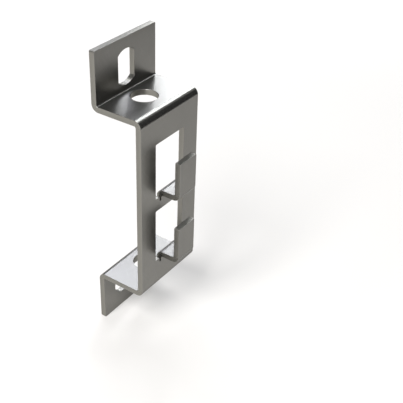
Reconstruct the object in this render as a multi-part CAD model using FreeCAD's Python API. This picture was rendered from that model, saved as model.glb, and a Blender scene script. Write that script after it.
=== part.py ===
import FreeCAD, Part
import math
import os
from FreeCAD import Vector

# Side bracket folded from one steel strip, in millimetres.
# X runs across the strip, Y into the wall and Z up. The origin lies on the wall plane, midway across
# the strip and midway up the web.

# Strip and folds
strip_width = 30.0
sheet = 2.0
inside_radius = 0.6

# Side view: the wall flanges lie on the wall plane, and the web stands off it
standoff = 19.2

# Web, from its top edge down: plain band, one window for each hook with a bridge between them, plain band
hook_count = 2
hook_pitch = 25.0
band_above_windows = 11.0
band_below_windows = 11.3
bridge = 4.8
window_width = 15.0

# Hooks lanced out of the windows
hook_width = 8.8
wire_gap = 5.2
relief_width = 1.0
relief_depth = 1.6
parting_cut = 0.2

# Rod holes through both shelves
rod_hole_diameter = 9.0
rod_to_wall = 9.0

# Slots in the wall flanges: an upright one above the web and a level one below it
slot_width = 8.0
upright_slot_length = 12.0
level_slot_length = 18.0
slot_to_shelf = 2.0
slot_to_end = 4.0

# Sizes that follow from the driving ones
window_height = hook_pitch - bridge
web_height = band_above_windows + hook_count * hook_pitch - bridge + band_below_windows
flange_length = slot_to_shelf + upright_slot_length + slot_to_end
slot_centre = web_height / 2 + slot_to_shelf + upright_slot_length / 2
web_front = -standoff
middle_radius = inside_radius + sheet / 2


def fold_length():
    """Length of strip that one square fold takes up, measured along the middle of the sheet."""
    return middle_radius * math.pi / 2


def folded_strip(corners, width):
    """Solid of a strip folded along a path in the side view.

    The middle of the sheet follows straight runs from corner to corner, with an arc at each corner that
    touches both runs. The two faces of the sheet lie half its thickness to either side, so their arcs share
    the middle arc's centre. The section is carried across the strip's width.
    """
    points = [Vector(-width / 2, y, z) for y, z in corners]
    edges = []
    ends = []
    for side in (sheet / 2, -sheet / 2):
        at = points[0] + left_of(points[0], points[1]) * side
        ends.append([at])
        for before, corner, after in zip(points, points[1:], points[2:]):
            start, middle, end = rounded_corner(before, corner, after, side)
            edges.append(Part.LineSegment(at, start).toShape())
            edges.append(Part.Arc(start, middle, end).toShape())
            at = end
        last = points[-1] + left_of(points[-2], points[-1]) * side
        edges.append(Part.LineSegment(at, last).toShape())
        ends[-1].append(last)
    for one_face, other_face in zip(*ends):
        edges.append(Part.LineSegment(one_face, other_face).toShape())
    section = Part.Face(Part.Wire(Part.__sortEdges__(edges)))
    return section.extrude(Vector(width, 0, 0))


def direction(start, end):
    """Unit vector from one point to another."""
    step = end - start
    return step / step.Length


def left_of(start, end):
    """Unit vector to the left of a run, in the side view."""
    return Vector(1, 0, 0).cross(direction(start, end))


def rounded_corner(before, corner, after, side):
    """First, middle and last point of the arc that one face of the sheet makes at a corner."""
    coming = direction(before, corner)
    going = direction(corner, after)
    turn = coming.getAngle(going)
    inward = going - coming
    centre = corner + inward / inward.Length * middle_radius / math.cos(turn / 2)
    trim = middle_radius * math.tan(turn / 2)
    start = corner - coming * trim + left_of(before, corner) * side
    end = corner + going * trim + left_of(corner, after) * side
    middle = centre - inward / inward.Length * (start - centre).Length
    return start, middle, end


def hat_strip():
    """The strip folded four times: upper flange, upper shelf, web, lower shelf and lower flange."""
    flange_y = -sheet / 2
    web_y = web_front + sheet / 2
    shelf_z = web_height / 2 - sheet / 2
    end_z = web_height / 2 + flange_length
    corners = [
        (flange_y, end_z),
        (flange_y, shelf_z),
        (web_y, shelf_z),
        (web_y, -shelf_z),
        (flange_y, -shelf_z),
        (flange_y, -end_z),
    ]
    return folded_strip(corners, strip_width)


def window_foot(number):
    """Height of the lower edge of a window, counted from the top of the web."""
    return web_height / 2 - band_above_windows - window_height - number * hook_pitch


def window_cutter(foot):
    """Blocks that open one window through the web, and the relief notches below it on both sides of its hook."""
    corner = Vector(-window_width / 2, web_front - sheet, foot)
    window = Part.makeBox(window_width, 3 * sheet, window_height, corner)
    relief_span = hook_width + 2 * relief_width
    relief_corner = Vector(-relief_span / 2, web_front - sheet, foot - relief_depth)
    return window.fuse(Part.makeBox(relief_span, 3 * sheet, relief_depth, relief_corner))


def hook(foot):
    """One hook: the tongue left standing between its relief notches, folded forward and then up.

    The tray's underside is level with the window's foot. The tongue was parted from the window's upper edge,
    so its length along the middle of the sheet, folds included, reaches from the notches' bottom to that
    edge, less the parting cut. What the stem, the tray and the two folds don't use stands up as the lip.
    """
    root_z = foot - relief_depth
    stem_y = web_front + sheet / 2
    lip_y = web_front - wire_gap - sheet / 2
    tray_z = foot + sheet / 2
    stem = tray_z - middle_radius - root_z
    tray = stem_y - lip_y - 2 * middle_radius
    lip = relief_depth + window_height - parting_cut - stem - tray - 2 * fold_length()
    lip_end = tray_z + middle_radius + lip
    return folded_strip([(stem_y, root_z), (stem_y, tray_z), (lip_y, tray_z), (lip_y, lip_end)], hook_width)


def rod_holes():
    """Round bar that drills both shelves in line."""
    reach = web_height + 2 * sheet
    foot = Vector(0, -rod_to_wall, -reach / 2)
    return Part.makeCylinder(rod_hole_diameter / 2, reach, foot, Vector(0, 0, 1))


def slot_cutter(length, end_radius, along, centre_z):
    """Bar that cuts one slot through a wall flange.

    The slot's straight sides run in the direction along, and an arc of the end radius closes each end.
    """
    half_width = slot_width / 2
    across = along.cross(Vector(0, 1, 0))
    centre = Vector(0, -2 * sheet, centre_z)
    half_side = length / 2 - end_radius + math.sqrt(end_radius**2 - half_width**2)
    edges = []
    for way in (1, -1):
        first = centre + along * way * half_side + across * way * half_width
        last = centre + along * way * half_side - across * way * half_width
        edges.append(Part.Arc(first, centre + along * way * length / 2, last).toShape())
        edges.append(Part.LineSegment(last, last - along * way * 2 * half_side).toShape())
    outline = Part.Face(Part.Wire(Part.__sortEdges__(edges)))
    return outline.extrude(Vector(0, 3 * sheet, 0))


def wall_slots():
    """The upright slot, whose two ends lie on one circle, and the level slot with half-round ends."""
    upright = slot_cutter(upright_slot_length, upright_slot_length / 2, Vector(0, 0, 1), slot_centre)
    level = slot_cutter(level_slot_length, slot_width / 2, Vector(1, 0, 0), -slot_centre)
    return [upright, level]


def side_bracket():
    """The whole bracket: folded strip, with its windows, holes and slots cut and its hooks standing out."""
    feet = [window_foot(number) for number in range(hook_count)]
    cutters = [window_cutter(foot) for foot in feet]
    cutters += [rod_holes()] + wall_slots()
    return hat_strip().cut(cutters).fuse([hook(foot) for foot in feet]).removeSplitter()


os.makedirs("parts", exist_ok=True)
side_bracket().exportStep("parts/side_bracket.step")
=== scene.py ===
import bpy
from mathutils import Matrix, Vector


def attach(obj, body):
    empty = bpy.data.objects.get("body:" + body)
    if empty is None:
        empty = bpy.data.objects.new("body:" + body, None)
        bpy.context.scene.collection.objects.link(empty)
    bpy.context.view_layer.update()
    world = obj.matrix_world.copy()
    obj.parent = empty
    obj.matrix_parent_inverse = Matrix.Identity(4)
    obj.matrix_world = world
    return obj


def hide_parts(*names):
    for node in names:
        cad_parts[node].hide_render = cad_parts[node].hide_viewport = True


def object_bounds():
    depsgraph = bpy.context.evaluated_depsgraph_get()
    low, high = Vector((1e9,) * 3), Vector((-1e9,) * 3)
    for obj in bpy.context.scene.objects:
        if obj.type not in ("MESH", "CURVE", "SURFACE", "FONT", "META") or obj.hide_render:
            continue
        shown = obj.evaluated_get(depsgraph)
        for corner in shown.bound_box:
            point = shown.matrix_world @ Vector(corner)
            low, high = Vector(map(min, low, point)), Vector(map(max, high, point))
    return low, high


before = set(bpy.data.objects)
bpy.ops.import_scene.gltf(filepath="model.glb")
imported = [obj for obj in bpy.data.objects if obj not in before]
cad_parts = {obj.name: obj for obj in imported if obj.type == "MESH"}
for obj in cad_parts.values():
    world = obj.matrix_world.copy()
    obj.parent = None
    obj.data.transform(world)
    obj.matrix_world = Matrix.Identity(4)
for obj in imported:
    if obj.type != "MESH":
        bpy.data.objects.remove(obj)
cad_box = [list(corner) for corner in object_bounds()]

import bmesh
import bpy
import numpy as np
from mathutils import Vector

# Camera: a long lens above the bracket, to its left and in front of it. The picture's middle lies to the
# bracket's right, which leaves room for the shadow there.
camera_place = Vector((-0.17933, -0.14829, 0.14600))
camera_aim = Vector((0.66281, 0.50054, -0.55690))
sensor_width = 36.0
lens_length = 71.58
sideways_shift = 0.1172
nearest_seen = 0.01
farthest_seen = 50.0

camera_data = bpy.data.cameras.new("camera")
camera_data.sensor_width = sensor_width
camera_data.lens = lens_length
camera_data.shift_x = sideways_shift
camera_data.clip_start = nearest_seen
camera_data.clip_end = farthest_seen
camera = bpy.data.objects.new("camera", camera_data)
camera.location = camera_place
camera.rotation_euler = camera_aim.to_track_quat("-Z", "Y").to_euler()
bpy.context.scene.collection.objects.link(camera)
bpy.context.scene.camera = camera


# Bracket: one strip of bare 2 mm steel sheet, pierced and lanced while flat. It is folded four times, and
# its two hooks are folded forward and up out of their windows. The shape is worked out on the flat strip.
# Lengths are in millimetres, and places along the strip are counted up from the middle of the web.
millimetre = 0.001
quarter_turn = np.pi / 2
strip_width = 30.0
half_sheet = 1.0
middle_radius = 1.6
fold_run = middle_radius * quarter_turn
flange_run = 17.4
shelf_run = 14.0
web_run = 62.3
half_strip = web_run / 2 + fold_run + shelf_run + fold_run + flange_run
strip_bends = [
    (flange_run, 0),
    (fold_run, quarter_turn),
    (shelf_run, 0),
    (fold_run, -quarter_turn),
    (web_run, 0),
    (fold_run, -quarter_turn),
    (shelf_run, 0),
    (fold_run, quarter_turn),
    (flange_run, 0),
]
flange_middle = -1.0
web_middle = -18.2
strip_foot = -51.75
strip_map = (strip_bends, (flange_middle, strip_foot), -half_strip)

# Openings in the strip. Each has its half width, half length, corner radius and whether the circle that
# touches its ends cuts its corners.
rod_hole_place = 41.2633
rod_hole_radius = 4.5
rod_hole = (rod_hole_radius, rod_hole_radius, rod_hole_radius, False)
slot_place = 57.5766
half_slot = 4.0
upright_slot_half = 6.0
upright_slot_corner = 0.2
upright_slot = (half_slot, upright_slot_half, upright_slot_corner, True)
level_slot_half = 9.0
level_slot = (level_slot_half, half_slot, half_slot, False)
upper_window_foot = 2.55
lower_window_foot = -22.45
half_window = 7.5
window_rise = 20.2
window_corner = 0.3
window = (half_window, window_rise / 2, window_corner, False)
bridge_middle = -0.65

# Hooks and the relief notches beside them
half_hook = 4.4
relief_width = 1.0
relief_depth = 1.6
root_corner = 0.2
stem_run = 1.0
tray_run = 4.0
lip_run = 11.573
hook_bends = [
    (stem_run, 0),
    (fold_run, quarter_turn),
    (tray_run, 0),
    (fold_run, -quarter_turn),
    (lip_run, 0),
]
hook_run = stem_run + fold_run + tray_run + fold_run + lip_run

# Cut edges: drawn in at the punched face, left almost sharp at the other
outline_corner = 0.4
draw_in = 0.09
draw_down = 0.12
burr_round = 0.05


def folded(flat, depth, facing, bends, start):
    """Places and facings of points of the flat sheet after folding, and how far it is stretched there.

    flat holds each point's place across and along the sheet, depth its height above the sheet's middle,
    towards the front, and facing its unit normal as across, along and up. The sheet's middle is a chain of
    straight runs and arcs that sets out upwards. A point adds the whole of every run before its own and its
    share of its own: a straight run adds its length in its heading, and an arc adds its radius times the
    change of the heading's sine and cosine. The depth is laid off square to the heading, on its left. The
    stretch is nothing at an arc's ends and on its inside, and one at the middle of its outside.
    """
    left = flat[..., 1]
    y = np.full(left.shape, start[0])
    z = np.full(left.shape, start[1])
    stretch = np.zeros(left.shape)
    turned = np.full(left.shape, quarter_turn)
    heading = quarter_turn
    for run, turn in bends:
        share = np.clip(left / run, 0, 1)
        left = left - run
        if turn:
            radius = run / turn
            now = heading + turn * share
            y = y + radius * (np.sin(now) - np.sin(heading))
            z = z + radius * (np.cos(heading) - np.cos(now))
            turned = turned + turn * share
            outer = (1 - np.sign(turn) * depth) / 2
            stretch = stretch + 4 * share * (1 - share) * outer
        else:
            y = y + run * share * np.cos(heading)
            z = z + run * share * np.sin(heading)
        heading = heading + turn
    cosine = np.cos(turned)
    sine = np.sin(turned)
    place = np.stack([flat[..., 0], y - depth * sine, z + depth * cosine], -1)
    across, along, up = np.moveaxis(facing, -1, 0)
    normal = np.stack([across, along * cosine - up * sine, along * sine + up * cosine], -1)
    return place, normal, stretch


grids = []


def lay(flat, depth, facing, cut, fold_map):
    """Folds one grid of the flat sheet and keeps it for sewing.

    cut is one on cut walls and nothing on faces. The fold map holds the bends, where they start, and the
    place on the flat sheet that lies there.
    """
    bends, start, first_run = fold_map
    run = flat - np.array([0.0, first_run])
    place, normal, stretch = folded(run, depth, facing, bends, start)
    grids.append((place, normal, flat, depth, cut, stretch))


def lay_faces(make_flat, fold_map):
    """Front and back of one patch. make_flat gives the patch for how far its cut edges are drawn in."""
    for depth, inset in ((half_sheet, draw_in), (-half_sheet, burr_round)):
        flat = make_flat(inset)
        facing = np.broadcast_to([0.0, 0.0, np.sign(depth)], flat.shape[:-1] + (3,))
        none = np.zeros(flat.shape[:-1])
        lay(flat, none + depth, facing, none, fold_map)


# Profile of a cut edge, from the front face to the back: drawn-in quarter ellipse, wall, quarter circle
bend_points = 5
wall_points = 7
bend = np.linspace(0, quarter_turn, bend_points)
wall_depth = np.linspace(half_sheet - draw_down, burr_round - half_sheet, wall_points)[1:-1]
no_inset = np.zeros_like(wall_depth)
burr_bend = bend[::-1]
front_depth = half_sheet - draw_down * (1 - np.cos(bend))
back_depth = burr_round * (1 - np.cos(burr_bend)) - half_sheet
front_inset = draw_in * (1 - np.sin(bend))
back_inset = burr_round * (1 - np.sin(burr_bend))
rim_inset = np.concatenate([front_inset, no_inset, back_inset])
rim_depth = np.concatenate([front_depth, wall_depth, back_depth])
rim_out = np.concatenate([np.sin(bend) / draw_in, np.ones_like(wall_depth), np.sin(burr_bend)])
rim_up = np.concatenate([np.cos(bend) / draw_down, no_inset, -np.cos(burr_bend)])
rim_length = np.hypot(rim_out, rim_up)
rim_out = rim_out / rim_length
rim_up = rim_up / rim_length


def lay_rim(edge, into, fold_map):
    """Cut edge: its profile carried along the edge's line. into points from the edge into the sheet."""
    flat = edge[:, None] + rim_inset[None, :, None] * into[:, None]
    depth = np.broadcast_to(rim_depth, flat.shape[:-1])
    sideways = -into[:, None] * rim_out[None, :, None]
    facing = np.concatenate([sideways, np.broadcast_to(rim_up, depth.shape)[..., None]], -1)
    lay(flat, depth, facing, np.broadcast_to(rim_out, depth.shape), fold_map)


# Edge of a window's foot to the right of its hook, from the hook's side on: round into the relief notch,
# along its bottom, round up its wall, round out of it and along the foot. Places are counted from the
# foot's middle.
root_points = 4
notch_wall_points = 5
foot_points = 6
notch_side = half_hook + relief_width
window_side = half_window - window_corner
root_turn = np.linspace(0, quarter_turn, root_points)
sine = np.sin(root_turn)
cosine = np.cos(root_turn)
early = root_corner * (1 - sine)
late = root_corner * (1 - cosine)
stem_round = np.stack([half_hook + late, early - relief_depth], -1)
notch_round = np.stack([notch_side - early, late - relief_depth], -1)
foot_round = np.stack([notch_side + late, -early], -1)
notch_bottom = (stem_round[-1:] + notch_round[:1]) / 2
wall_share = np.linspace(0, 1, notch_wall_points)[1:-1, None]
notch_wall = notch_round[-1] * (1 - wall_share) + foot_round[0] * wall_share
foot_across = np.linspace(foot_round[-1, 0], window_side, foot_points)[1:]
foot_straight = np.stack([foot_across, np.zeros_like(foot_across)], -1)
foot_edge = np.concatenate([
    stem_round,
    notch_bottom,
    notch_round,
    notch_wall,
    foot_round,
    foot_straight,
])
down = [[0.0, -1.0]]
rightward = [[1.0, 0.0]]
foot_ways = np.concatenate([
    np.stack([-cosine, -sine], -1),
    down,
    np.stack([sine, -cosine], -1),
    rightward * len(notch_wall),
    np.stack([cosine, -sine], -1),
    down * len(foot_straight),
])

# Lines along the strip, to the right of its middle: through the hook, to the points of that edge, and
# along the window's side bar. The notch's wall stands upright, so the lines to it fan out to its right.
hook_columns = 11
bar_columns = 14
strip_edge = strip_width / 2 - outline_corner
hook_edge = half_hook - outline_corner
fan_width = 0.8
fan_start = notch_round[0, 0]
fan_count = len(notch_round) + len(notch_wall) + len(foot_round)
fan_lines = np.linspace(fan_start, fan_start + fan_width, fan_count)
straight_lines = np.linspace(fan_lines[-1], window_side, len(foot_straight) + 1)[1:]
foot_lines = np.concatenate([stem_round[:, 0], notch_bottom[:, 0], fan_lines, straight_lines])
hook_lines = np.linspace(0, hook_edge, hook_columns)
bar_lines = np.linspace(window_side, strip_edge, bar_columns)[1:]
half_lines = np.concatenate([hook_lines, foot_lines, bar_lines])
across = np.concatenate([-half_lines[:0:-1], half_lines])
hair = 1e-5
hook_across = across[np.abs(across) < hook_edge + hair]
ring_steps = 5
side_lines = []


def between(first, last, steps):
    """Grid of straight lines, each from a point of one row to the point beside it in another row."""
    share = np.linspace(0, 1, steps + 1)[:, None, None]
    return first[None] * (1 - share) + last[None] * share


def nearest_edge(points, centre, half_across, half_along, corner, arced):
    """Where the edge of an opening lies nearest to points around it.

    The opening is a core widened by the corner radius on every side. The core is a rectangle. Where its
    ends are arced, the circle round its middle that touches both ends cuts it too. Each point is clamped to
    the core: to the rectangle, and past the circle on to the circle, or to the corner where a straight side
    meets it. The edge lies one corner radius from there, on the way back. Gives the edge's points and the
    unit ways out.
    """
    core = np.array([half_across, half_along]) - corner
    away = points - centre
    clamped = np.clip(away, -core, core)
    if arced:
        reach = core[1]
        on_circle = away * reach / np.linalg.norm(away, axis=-1, keepdims=True)
        tip = np.sign(away) * [core[0], np.sqrt(reach**2 - core[0] ** 2)]
        past_side = np.abs(on_circle[:, :1]) > core[0]
        outside = np.linalg.norm(clamped, axis=-1, keepdims=True) > reach
        clamped = np.where(outside, np.where(past_side, tip, on_circle), clamped)
    way = away - clamped
    way = way / np.linalg.norm(way, axis=-1, keepdims=True)
    return clamped + centre + corner * way, way


def band_lines(low, high, steps):
    """Evenly spaced places along one band of the strip, kept for the strip's own edges too."""
    lines = np.linspace(low, high, steps + 1)
    side_lines.append(lines[:-1])
    return lines


def band_outline(lines):
    """Closed loop round a band: points along its foot, up its right side, back over its top and down."""
    foot = np.stack([across, np.full(len(across), lines[0])], -1)
    right = np.stack([np.full(len(lines) - 1, strip_edge), lines[1:]], -1)
    top = np.stack([across[::-1][1:], np.full(len(across) - 1, lines[-1])], -1)
    left = np.stack([np.full(len(lines) - 1, -strip_edge), lines[::-1][1:]], -1)
    return np.concatenate([foot, right, top, left])


def lay_plain_band(low, high, steps):
    """Band of the strip with no opening in it: a grid of its lines across and along."""
    band = np.stack(np.meshgrid(across, band_lines(low, high, steps)), -1)
    lay_faces(lambda inset: band, strip_map)


def lay_pierced_band(low, high, steps, place, opening):
    """Band round one opening: straight lines from its outline to the nearest point of the edge."""
    loop = band_outline(band_lines(low, high, steps))
    edge, way = nearest_edge(loop, np.array([0.0, place]), *opening)
    lay_faces(lambda inset: between(loop, edge + inset * way, ring_steps), strip_map)
    lay_rim(edge, way, strip_map)


def lay_window_band(low, high, steps, foot):
    """Band round one window, from whose foot a hook stands up between two relief notches.

    It is laid as round any opening, but lines from the outline's foot go, in order, to the points of the
    edge round the notches. Under the hook they go to its seam, level with the rounds' tops, and no rim is
    laid.
    """
    loop = band_outline(band_lines(low, high, steps))
    edge, way = nearest_edge(loop, np.array([0.0, foot + window_rise / 2]), *window)
    reach = np.abs(loop[:, 0])
    side = np.stack([np.sign(loop[:, 0]), np.ones(len(loop))], -1)
    on_foot = loop[:, 1] < low + hair
    at_edge = on_foot & (reach > half_hook - hair) & (reach < foot_lines[-1] + hair)
    under_hook = on_foot & (reach < half_hook - hair)
    new_edge = np.stack([np.interp(reach, foot_lines, column) for column in foot_edge.T], -1)
    new_way = np.stack([np.interp(reach, foot_lines, column) for column in foot_ways.T], -1)
    edge = np.where(at_edge[:, None], side * new_edge + [0.0, foot], edge)
    way = np.where(at_edge[:, None], side * new_way, way)
    seam = np.stack([loop[:, 0], np.full(len(loop), foot - relief_depth + root_corner)], -1)

    def ring(inset):
        inner = np.where(under_hook[:, None], seam, edge + inset * way)
        return between(loop, inner, ring_steps)

    lay_faces(ring, strip_map)
    first = np.flatnonzero(at_edge & (loop[:, 0] > 0))[0]
    last = np.flatnonzero(at_edge & (loop[:, 0] < 0))[-1]
    walk = np.concatenate([np.arange(first, len(loop) - 1), np.arange(last + 1)])
    lay_rim(edge[walk], way[walk], strip_map)


# The strip's bands, from its lower end up
web_half = web_run / 2
shelf_start = web_half + fold_run
shelf_end = shelf_start + shelf_run
flange_start = shelf_end + fold_run
flange_end = half_strip - outline_corner
flange_steps = 34
fold_steps = 18
shelf_steps = 28
lower_window_steps = 48
upper_window_steps = 52
lay_pierced_band(-flange_end, -flange_start, flange_steps, -slot_place, level_slot)
lay_plain_band(-flange_start, -shelf_end, fold_steps)
lay_pierced_band(-shelf_end, -shelf_start, shelf_steps, -rod_hole_place, rod_hole)
lay_plain_band(-shelf_start, -web_half, fold_steps)
lay_window_band(-web_half, bridge_middle, lower_window_steps, lower_window_foot)
lay_window_band(bridge_middle, web_half, upper_window_steps, upper_window_foot)
lay_plain_band(web_half, shelf_start, fold_steps)
lay_pierced_band(shelf_start, shelf_end, shelf_steps, rod_hole_place, rod_hole)
lay_plain_band(shelf_end, flange_start, fold_steps)
lay_pierced_band(flange_start, flange_end, flange_steps, slot_place, upright_slot)
corner_steps = 5


def round_outline(half, low, high, across, along, closed):
    """Core points and outward ways round a strip with round corners, from its right side over its top.

    The core is the strip less the corner radius. Side points face sideways, end points face along the
    strip, and each corner of the core is repeated while its way out turns a quarter. A closed walk goes on
    round the lower end.
    """
    inner = half - outline_corner
    turn = np.linspace(0, quarter_turn, corner_steps + 1)[1:-1]
    spin = np.stack([np.cos(turn), np.sin(turn)], -1)
    side = np.stack([np.full(len(along), inner), along], -1)
    end = np.stack([across[::-1], np.full(len(across), high - outline_corner)], -1)
    cores = [side, np.broadcast_to(side[-1], spin.shape), end]
    ways = [np.broadcast_to([1.0, 0.0], side.shape), spin, np.broadcast_to([0.0, 1.0], end.shape)]
    cores = np.concatenate(cores + [np.broadcast_to(end[-1], spin.shape), (side * [-1, 1])[::-1]])
    ways = np.concatenate(ways + [(spin * [-1, 1])[::-1], np.broadcast_to([-1.0, 0.0], side.shape)])
    if closed:
        foot = np.stack([across, np.full(len(across), low + outline_corner)], -1)
        left_corner = np.broadcast_to(foot[0], spin.shape)
        right_corner = np.broadcast_to(foot[-1], spin.shape)
        foot_out = np.broadcast_to([0.0, -1.0], foot.shape)
        cores = np.concatenate([cores, left_corner, foot, right_corner, side[:1]])
        ways = np.concatenate([ways, -spin, foot_out, (spin * [1, -1])[::-1], [[1.0, 0.0]]])
    return cores, ways


def lay_outline(cores, ways, fold_map):
    """The narrow border between a strip's core and its outer edge, and that edge."""
    lay_faces(lambda inset: between(cores, cores + (outline_corner - inset) * ways, 1), fold_map)
    lay_rim(cores + outline_corner * ways, -ways, fold_map)


side_places = np.append(np.concatenate(side_lines), flange_end)
cores, ways = round_outline(strip_width / 2, -half_strip, half_strip, across, side_places, True)
lay_outline(cores, ways, strip_map)

# Hooks: the same strip, from the tops of the rounds at their roots on
stem_steps = 4
tray_steps = 8
lip_steps = 20
hook_runs = [stem_run - root_corner, fold_run, tray_run, fold_run, lip_run - outline_corner]
hook_steps = [stem_steps, fold_steps, tray_steps, fold_steps, lip_steps]
marks = np.cumsum([root_corner] + hook_runs)
spans = zip(marks, marks[1:], hook_steps)
hook_along = [np.linspace(low, high, steps + 1)[:-1] for low, high, steps in spans]
hook_along = np.append(np.concatenate(hook_along), marks[-1])
for foot in (upper_window_foot, lower_window_foot):
    root = foot - relief_depth
    hook_map = (hook_bends, (web_middle, root), root)
    along = root + hook_along
    core = np.stack(np.meshgrid(hook_across, along), -1)
    lay_faces(lambda inset: core, hook_map)
    cores, ways = round_outline(half_hook, root, root + hook_run, hook_across, along, False)
    lay_outline(cores, ways, hook_map)


def sewn(name):
    """One closed mesh of all grids.

    Quads face the way of their points' normals, and points that touch are merged.
    """
    places = []
    normals = []
    flats = []
    cuts = []
    stretches = []
    quads = []
    count = 0
    for place, normal, flat, depth, cut, stretch in grids:
        rows, columns = place.shape[:2]
        index = np.arange(rows * columns).reshape(rows, columns)
        around = [index[:-1, :-1], index[1:, :-1], index[1:, 1:], index[:-1, 1:]]
        quad = np.stack(around, -1).reshape(-1, 4)
        points = place.reshape(-1, 3)
        facing = normal.reshape(-1, 3)
        corner = points[quad]
        turned = np.cross(corner[:, 2] - corner[:, 0], corner[:, 3] - corner[:, 1])
        wrong = (turned * facing[quad].sum(1)).sum(-1) < 0
        quads.append(np.where(wrong[:, None], quad[:, ::-1], quad) + count)
        places.append(points)
        normals.append(facing)
        flats.append(np.concatenate([flat.reshape(-1, 2), depth.reshape(-1, 1)], -1))
        cuts.append(cut.reshape(-1))
        stretches.append(stretch.reshape(-1))
        count += rows * columns
    mesh = bpy.data.meshes.new(name)
    points = np.concatenate(places) * millimetre
    mesh.from_pydata(points.tolist(), [], np.concatenate(quads).tolist())
    for title, kind, entry, values in (
        ("facing", "FLOAT_VECTOR", "vector", np.concatenate(normals)),
        ("flat_place", "FLOAT_VECTOR", "vector", np.concatenate(flats) * millimetre),
        ("cut", "FLOAT", "value", np.concatenate(cuts)),
        ("stretch", "FLOAT", "value", np.concatenate(stretches)),
    ):
        layer = mesh.attributes.new(title, kind, "POINT")
        layer.data.foreach_set(entry, values.astype(np.float32).ravel())
    merge_distance = 0.000002
    loose = bmesh.new()
    loose.from_mesh(mesh)
    bmesh.ops.remove_doubles(loose, verts=loose.verts, dist=merge_distance)
    loose.to_mesh(mesh)
    loose.free()
    return mesh


bracket_mesh = sewn("side_bracket_sheet")
facing = np.zeros(len(bracket_mesh.vertices) * 3, np.float32)
bracket_mesh.attributes["facing"].data.foreach_get("vector", facing)
bracket_mesh.shade_smooth()
bracket_mesh.normals_split_custom_set_from_vertices(facing.reshape(-1, 3).tolist())
bracket_mesh.attributes.remove(bracket_mesh.attributes["facing"])
bracket = bpy.data.objects.new("bracket_sheet", bracket_mesh)
bpy.context.scene.collection.objects.link(bracket)


class Shade:
    """What a shader node gives out. Python's operators on it add Math nodes."""

    def __init__(self, socket):
        self.socket = socket

    @classmethod
    def node(cls, tree, kind, settings, inputs, output=0):
        """Adds one node: its settings first, then the numbers, colours or links of its inputs."""
        made = tree.nodes.new("ShaderNode" + kind)
        for name, value in settings.items():
            setattr(made, name, value)
        for name, value in inputs.items():
            if isinstance(value, cls):
                tree.links.new(value.socket, made.inputs[name])
            else:
                made.inputs[name].default_value = value
        return cls(made.outputs[output]) if made.outputs else None

    def maths(self, operation, first, second):
        """One Math node in this socket's tree."""
        return Shade.node(self.socket.id_data, "Math", {"operation": operation}, {0: first, 1: second})

    def or_more(self, other):
        """The larger of two values."""
        return self.maths("MAXIMUM", self, other)

    def __add__(self, other):
        return self.maths("ADD", self, other)

    __radd__ = __add__

    def __sub__(self, other):
        return self.maths("SUBTRACT", self, other)

    def __rsub__(self, other):
        return self.maths("SUBTRACT", other, self)

    def __mul__(self, other):
        return self.maths("MULTIPLY", self, other)

    __rmul__ = __mul__


# Its finish: rolling left a fine grain across the strip and faint clouds, and handling left scratches and
# bright edges. The shears left a smooth band on every cut wall and a torn one behind it, and the folding
# tool smoothed the outside of the folds. Lengths are in metres on the flat sheet.
rolled_dark = (0.234, 0.229, 0.215, 1.0)
rolled_light = (0.248, 0.243, 0.227, 1.0)
sheared_colour = (0.246, 0.239, 0.214, 1.0)
torn_colour = (0.236, 0.229, 0.206, 1.0)
worn_colour = (0.285, 0.280, 0.268, 1.0)
grain_stretch = (0.07, 1.0, 0.3)
tear_stretch = (1.0, 1.0, 0.12)
scratch_leans = (0.3, -0.9, 1.9)
scratch_length = 24.0
scratch_strength = 0.25
wear_strength = 0.8
torn_from = 0.0004
torn_to = 0.0001
torn_waver = 0.0003
grain_height = 0.0000012
scratch_height = 0.0000025
tear_height = 0.000006
smooth_roughness = 0.278
cloud_roughness = 0.018
grain_roughness = 0.03
torn_roughness = 0.03
fold_polish = 0.14
face_metal = 0.9
wall_metal = 0.84
edge_gloss = (0.5, 0.5, 0.5, 1.0)
noise_middle = 0.5

# The Mix node's colour sockets, by number, because sockets of other kinds share their names
first_colour = 6
second_colour = 7
mixed_colour = 2

steel = bpy.data.materials.new("bare_steel")
steel.use_nodes = True
steel_tree = steel.node_tree
steel_tree.nodes.clear()
sheet_place = Shade.node(steel_tree, "Attribute", {"attribute_name": "flat_place"}, {}, "Vector")
cut = Shade.node(steel_tree, "Attribute", {"attribute_name": "cut"}, {}, "Fac")
stretch = Shade.node(steel_tree, "Attribute", {"attribute_name": "stretch"}, {}, "Fac")


def noise(place, scale, detail):
    """Noise pattern over the sheet, with about as many features to the metre as the scale."""
    pattern = {"Vector": place, "Scale": scale, "Detail": detail}
    return Shade.node(steel_tree, "TexNoise", {}, pattern, "Fac")


def stretched(factors):
    """The place on the flat sheet, with each direction multiplied by its factor."""
    settings = {"operation": "MULTIPLY"}
    return Shade.node(steel_tree, "VectorMath", settings, {0: sheet_place, 1: factors})


def spread(value, low, high):
    """The part of a value that lies between low and high, spread to run from 0 to 1."""
    limits = {"Value": value, "From Min": low, "From Max": high, "To Min": 0.0, "To Max": 1.0}
    return Shade.node(steel_tree, "MapRange", {}, limits)


def blend(factor, first, second):
    """Colour between two colours."""
    colours = {"Factor": factor, first_colour: first, second_colour: second}
    return Shade.node(steel_tree, "Mix", {"data_type": "RGBA"}, colours, mixed_colour)


def scratches(lean):
    """Sparse thin lines, leaning by an angle on the sheet: the peaks of a noise drawn out along them."""
    settings = {"vector_type": "TEXTURE"}
    turn = {"Vector": sheet_place, "Rotation": (0.0, 0.0, lean), "Scale": (scratch_length, 1.0, 1.0)}
    drawn_out = Shade.node(steel_tree, "Mapping", settings, turn)
    return spread(noise(drawn_out, scale=3200.0, detail=0.0), low=0.69, high=0.76)


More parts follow.
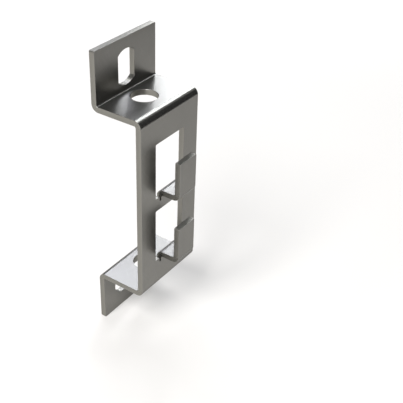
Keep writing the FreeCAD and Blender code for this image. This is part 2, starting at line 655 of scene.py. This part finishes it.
clouds = spread(noise(sheet_place, scale=110.0, detail=3.0), low=0.3, high=0.7)
grain = spread(noise(stretched(grain_stretch), scale=2800.0, detail=2.0), low=0.35, high=0.65)
tears = noise(stretched(tear_stretch), scale=2200.0, detail=2.0)
waver = noise(sheet_place, scale=500.0, detail=2.0) - noise_middle
depth = Shade.node(steel_tree, "SeparateXYZ", {}, {"Vector": sheet_place}, "Z")
flat = (1 - cut) * (1 - stretch)
scratch = flat * sum(scratches(lean) for lean in scratch_leans)
torn = cut * spread(depth + torn_waver * waver, low=torn_from, high=torn_to)
edge = 4 * cut * (1 - cut)

face_colour = blend(clouds, rolled_dark, rolled_light)
wall_colour = blend(torn, sheared_colour, torn_colour)
colour = blend(wear_strength * edge, blend(cut, face_colour, wall_colour), worn_colour)
colour = blend(scratch_strength * scratch, colour, worn_colour)
roughness = smooth_roughness + cloud_roughness * clouds + grain_roughness * grain * flat
roughness = roughness + torn_roughness * torn - fold_polish * stretch
height = grain_height * grain * flat - scratch_height * scratch + tear_height * tears * torn
relief = {"Strength": 1.0, "Distance": 1.0, "Height": height}
bumps = Shade.node(steel_tree, "Bump", {}, relief, "Normal")
finish = {
    "Base Color": colour,
    "Metallic": face_metal - (face_metal - wall_metal) * cut,
    "Specular Tint": edge_gloss,
    "Roughness": roughness,
    "Normal": bumps,
}
steel_shader = Shade.node(steel_tree, "BsdfPrincipled", {}, finish)
Shade.node(steel_tree, "OutputMaterial", {}, {"Surface": steel_shader})
bracket_mesh.materials.append(steel)
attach(bracket, "root")
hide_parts("side_bracket")


# Floor: a round sheet of white paper, level with the bracket's foot and lying past all that the camera
# sees. It glows a little for the camera, mirrors and glass, so that the ground is white and keeps its
# shadows, and more for the camera towards its rim, where it runs into the white backdrop.
floor_level = cad_box[0][2]
floor_middle = np.array([0.12, 0.36])
floor_radius = 0.58
floor_sides = 96
paper_colour = (0.56, 0.54, 0.51, 1.0)
paper_glow = 0.335
rim_glow = 0.45
rim_from = 0.43
rim_to = 0.57
far_from = 0.20
far_to = 0.75
white = (1.0, 1.0, 1.0, 1.0)

turn = np.linspace(0, 2 * np.pi, floor_sides, endpoint=False)
floor_rim = floor_middle + floor_radius * np.stack([np.cos(turn), np.sin(turn)], -1)
floor_points = np.column_stack([floor_rim, np.full(floor_sides, floor_level)])
floor_mesh = bpy.data.meshes.new("floor")
floor_mesh.from_pydata(floor_points.tolist(), [], [list(range(floor_sides))])
floor = bpy.data.objects.new("floor", floor_mesh)
bpy.context.scene.collection.objects.link(floor)

paper = bpy.data.materials.new("white_paper")
paper.use_nodes = True
paper_tree = paper.node_tree
paper_tree.nodes.clear()
camera_ray = Shade.node(paper_tree, "LightPath", {}, {}, "Is Camera Ray")
glossy_ray = Shade.node(paper_tree, "LightPath", {}, {}, "Is Glossy Ray")
through_ray = Shade.node(paper_tree, "LightPath", {}, {}, "Is Transmission Ray")
seen = camera_ray.or_more(glossy_ray).or_more(through_ray)
matt = Shade.node(paper_tree, "BsdfDiffuse", {}, {"Color": paper_colour})
place = Shade.node(paper_tree, "TexCoord", {}, {}, "Object")
middle_place = (*floor_middle, floor_level)
distance = {"operation": "DISTANCE"}
from_middle = Shade.node(paper_tree, "VectorMath", distance, {0: place, 1: middle_place}, "Value")
from_bracket = Shade.node(paper_tree, "VectorMath", {"operation": "LENGTH"}, {0: place}, "Value")


def rising(tree, value, low, high, top):
    """Nothing up to the low value and the top past the high one, along a smooth curve between them."""
    limits = {"Value": value, "From Min": low, "From Max": high, "To Max": top}
    return Shade.node(tree, "MapRange", {"interpolation_type": "SMOOTHSTEP"}, limits)


rim = rising(paper_tree, from_middle, rim_from, rim_to, rim_glow)
far = rising(paper_tree, from_bracket, far_from, far_to, rim_glow)
glow_strength = paper_glow * seen + rim.or_more(far) * camera_ray
glow = Shade.node(paper_tree, "Emission", {}, {"Color": white, "Strength": glow_strength})
paper_shader = Shade.node(paper_tree, "AddShader", {}, {0: matt, 1: glow})
Shade.node(paper_tree, "OutputMaterial", {}, {"Surface": paper_shader})
floor_mesh.materials.append(paper)


# Light: softboxes in a ring round the bracket. A strong one on the left lights the floor and cut edges.
# The shelves, trays, folds and slot walls mirror those on the right and behind.
lamp_distance = 0.9


def softbox(name, azimuth, elevation, width, height, radiance, colour):
    """Flat lamp that faces the bracket.

    The azimuth counts from +X towards +Y and the elevation up from the floor, in degrees. The lamp's power
    is pi times its radiance times its area.
    """
    lamp = bpy.data.lights.new(name, "AREA")
    lamp.shape = "RECTANGLE"
    lamp.size = width
    lamp.size_y = height
    lamp.energy = np.pi * radiance * width * height
    lamp.color = colour
    turn = np.radians(azimuth)
    rise = np.radians(elevation)
    level = lamp_distance * np.cos(rise)
    place = Vector((level * np.cos(turn), level * np.sin(turn), lamp_distance * np.sin(rise)))
    body = bpy.data.objects.new(name, lamp)
    body.location = place
    body.rotation_euler = (-place).to_track_quat("-Z", "Y").to_euler()
    body.visible_camera = False
    bpy.context.scene.collection.objects.link(body)


softbox("left_softbox", azimuth=184, elevation=47, width=0.46, height=0.40,
        radiance=19.3, colour=(0.97, 0.98, 1.0))
softbox("low_softbox", azimuth=28.5, elevation=25.4, width=0.21, height=0.21,
        radiance=15.6, colour=(0.91, 0.94, 1.0))
softbox("right_softbox", azimuth=9.0, elevation=43.5, width=0.42, height=0.19,
        radiance=7.0, colour=(0.92, 0.96, 1.0))
softbox("back_softbox", azimuth=45, elevation=43.5, width=0.20, height=0.20,
        radiance=8.5, colour=(0.85, 0.88, 1.0))
softbox("fill_softbox", azimuth=48, elevation=27, width=0.14, height=0.15,
        radiance=4.0, colour=(0.87, 0.89, 1.0))
softbox("side_softbox", azimuth=-18, elevation=38, width=0.28, height=0.30,
        radiance=0.4, colour=(1.0, 1.0, 1.0))
softbox("rear_softbox", azimuth=66, elevation=49, width=0.20, height=0.12,
        radiance=11.0, colour=(0.95, 0.97, 1.0))
softbox("horizon_softbox", azimuth=46, elevation=10, width=0.22, height=0.26,
        radiance=1.2, colour=(0.92, 0.94, 1.0))


# Room: a white backdrop all round for the camera and for glass, and a dim room that the metal mirrors, as
# the real one does. It is paler to the bracket's left and front, and overhead.
room_light = 0.035
backdrop_light = 1.0
wall_light = 0.5
wall_way = (-0.69, -0.72, 0.0)
wall_from = 0.25
wall_to = 0.75
ceiling_light = 0.45
ceiling_from = 0.80
ceiling_to = 1.0
up = (0.0, 0.0, 1.0)

world = bpy.data.worlds.new("studio")
bpy.context.scene.world = world
world.use_nodes = True
world_tree = world.node_tree
world_tree.nodes.clear()
way = Shade.node(world_tree, "TexCoord", {}, {}, "Generated")
along_way = {"operation": "DOT_PRODUCT"}
to_wall = Shade.node(world_tree, "VectorMath", along_way, {0: way, 1: wall_way}, "Value")
to_ceiling = Shade.node(world_tree, "VectorMath", along_way, {0: way, 1: up}, "Value")
wall = rising(world_tree, to_wall, wall_from, wall_to, wall_light)
ceiling = rising(world_tree, to_ceiling, ceiling_from, ceiling_to, ceiling_light)
camera_way = Shade.node(world_tree, "LightPath", {}, {}, "Is Camera Ray")
glass_way = Shade.node(world_tree, "LightPath", {}, {}, "Is Transmission Ray")
mirror_way = Shade.node(world_tree, "LightPath", {}, {}, "Is Glossy Ray")
backdrop = backdrop_light * camera_way.or_more(glass_way)
room_strength = room_light + backdrop + mirror_way * (wall + ceiling)
room = Shade.node(world_tree, "Background", {}, {"Color": white, "Strength": room_strength})
Shade.node(world_tree, "OutputWorld", {}, {"Surface": room})
bpy.context.scene.view_settings.view_transform = "Standard"
